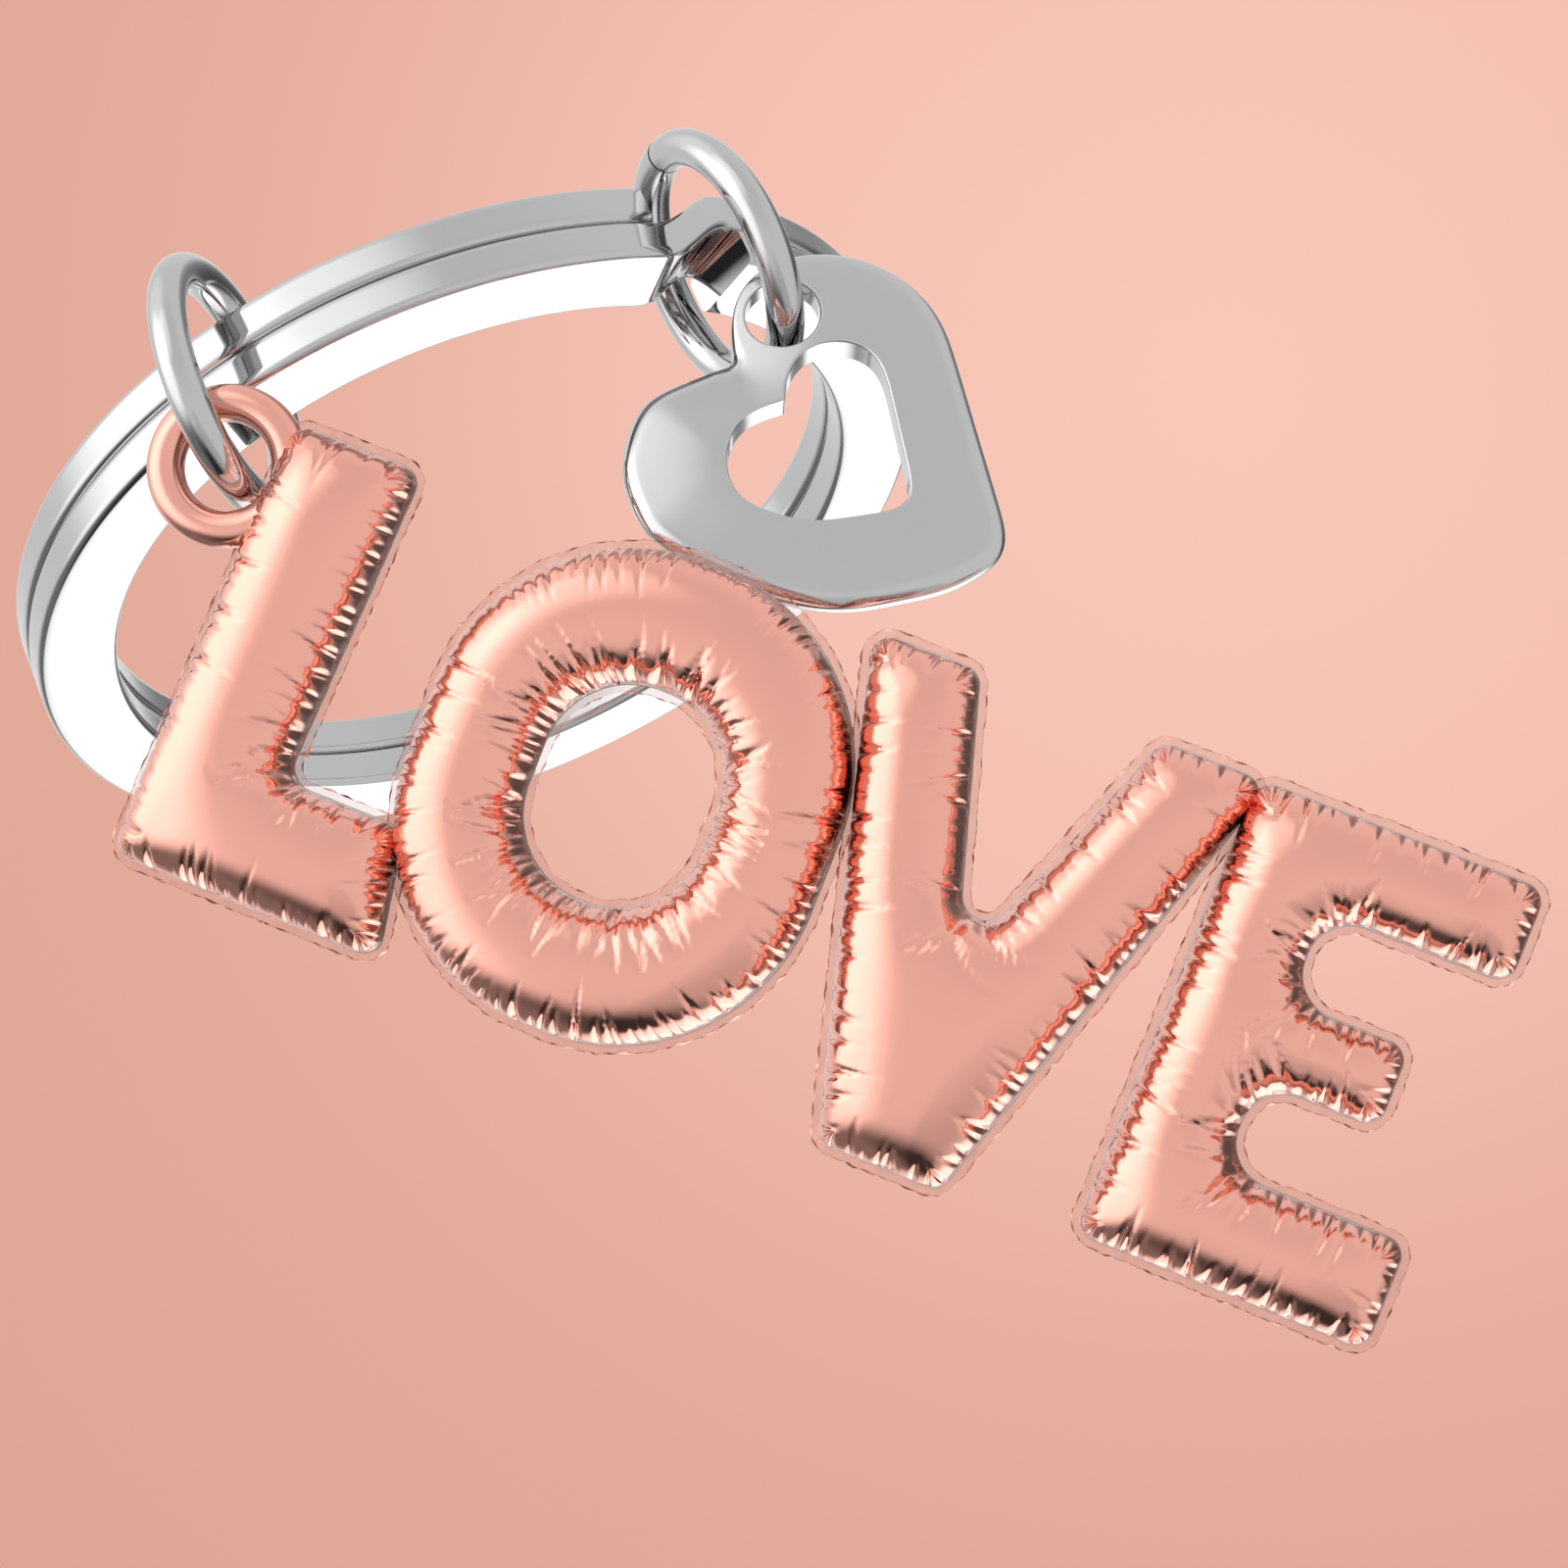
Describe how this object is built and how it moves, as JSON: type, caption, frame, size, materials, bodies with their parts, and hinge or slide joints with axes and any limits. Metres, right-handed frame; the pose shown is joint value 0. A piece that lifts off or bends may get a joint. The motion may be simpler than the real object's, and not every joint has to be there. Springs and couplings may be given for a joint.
{
  "type": "keyring with hanging charms",
  "caption": "Split-ring keyring carrying, on jump rings, a rose-gold charm of puffed balloon letters and a polished heart tag with a cut-out.",
  "frame": {"origin": "middle of the split ring, halfway through its two coils", "axes": "-Z is the way the letter charm hangs from the split ring, -Y is the way the letters face, +X completes the frame towards the letters' tops"},
  "size_m": [0.0298, 0.038, 0.0498],
  "materials": {
    "polished_steel": "bright mirror-polished nickel-plated steel",
    "polished_silver": "mirror-polished silver-plated plate",
    "rose_gold": "polished rose-gold plating over cast metal"
  },
  "bodies": {
    "key_ring_body": {"split_ring": "polished_steel"},
    "charm_link": {"charm_jump_ring": "polished_steel"},
    "love_charm": {"charm_loop": "rose_gold", "letter_l": "rose_gold", "letter_o": "rose_gold", "letter_v": "rose_gold", "letter_e": "rose_gold"},
    "heart_link": {"heart_jump_ring": "polished_steel"},
    "heart_charm": {"heart_tag": "polished_silver"}
  },
  "joints": [
    {"name": "charm_link_swing", "type": "hinge", "parent": "key_ring_body", "child": "charm_link", "pos_m": [-0.00082, -0.01234, 0.00779], "axis": [-0.8893, 0.2849, 0.3578], "range_deg": [0, 45]},
    {"name": "love_charm_swing", "type": "hinge", "parent": "charm_link", "child": "love_charm", "pos_m": [-0.00309, -0.0152, 0.0057], "axis": [-0.2413, 0.7232, -0.6471], "range_deg": [0, 40]},
    {"name": "heart_link_swing", "type": "hinge", "parent": "key_ring_body", "child": "heart_link", "pos_m": [0.01158, -0.00878, -0.00166], "axis": [-0.4088, -0.6586, 0.6318], "range_deg": [-20, 30]},
    {"name": "heart_charm_swing", "type": "hinge", "parent": "heart_link", "child": "heart_charm", "pos_m": [0.01102, -0.01204, -0.00557], "axis": [0.6137, -0.666, 0.424], "range_deg": [-8, 35]}
  ]
}
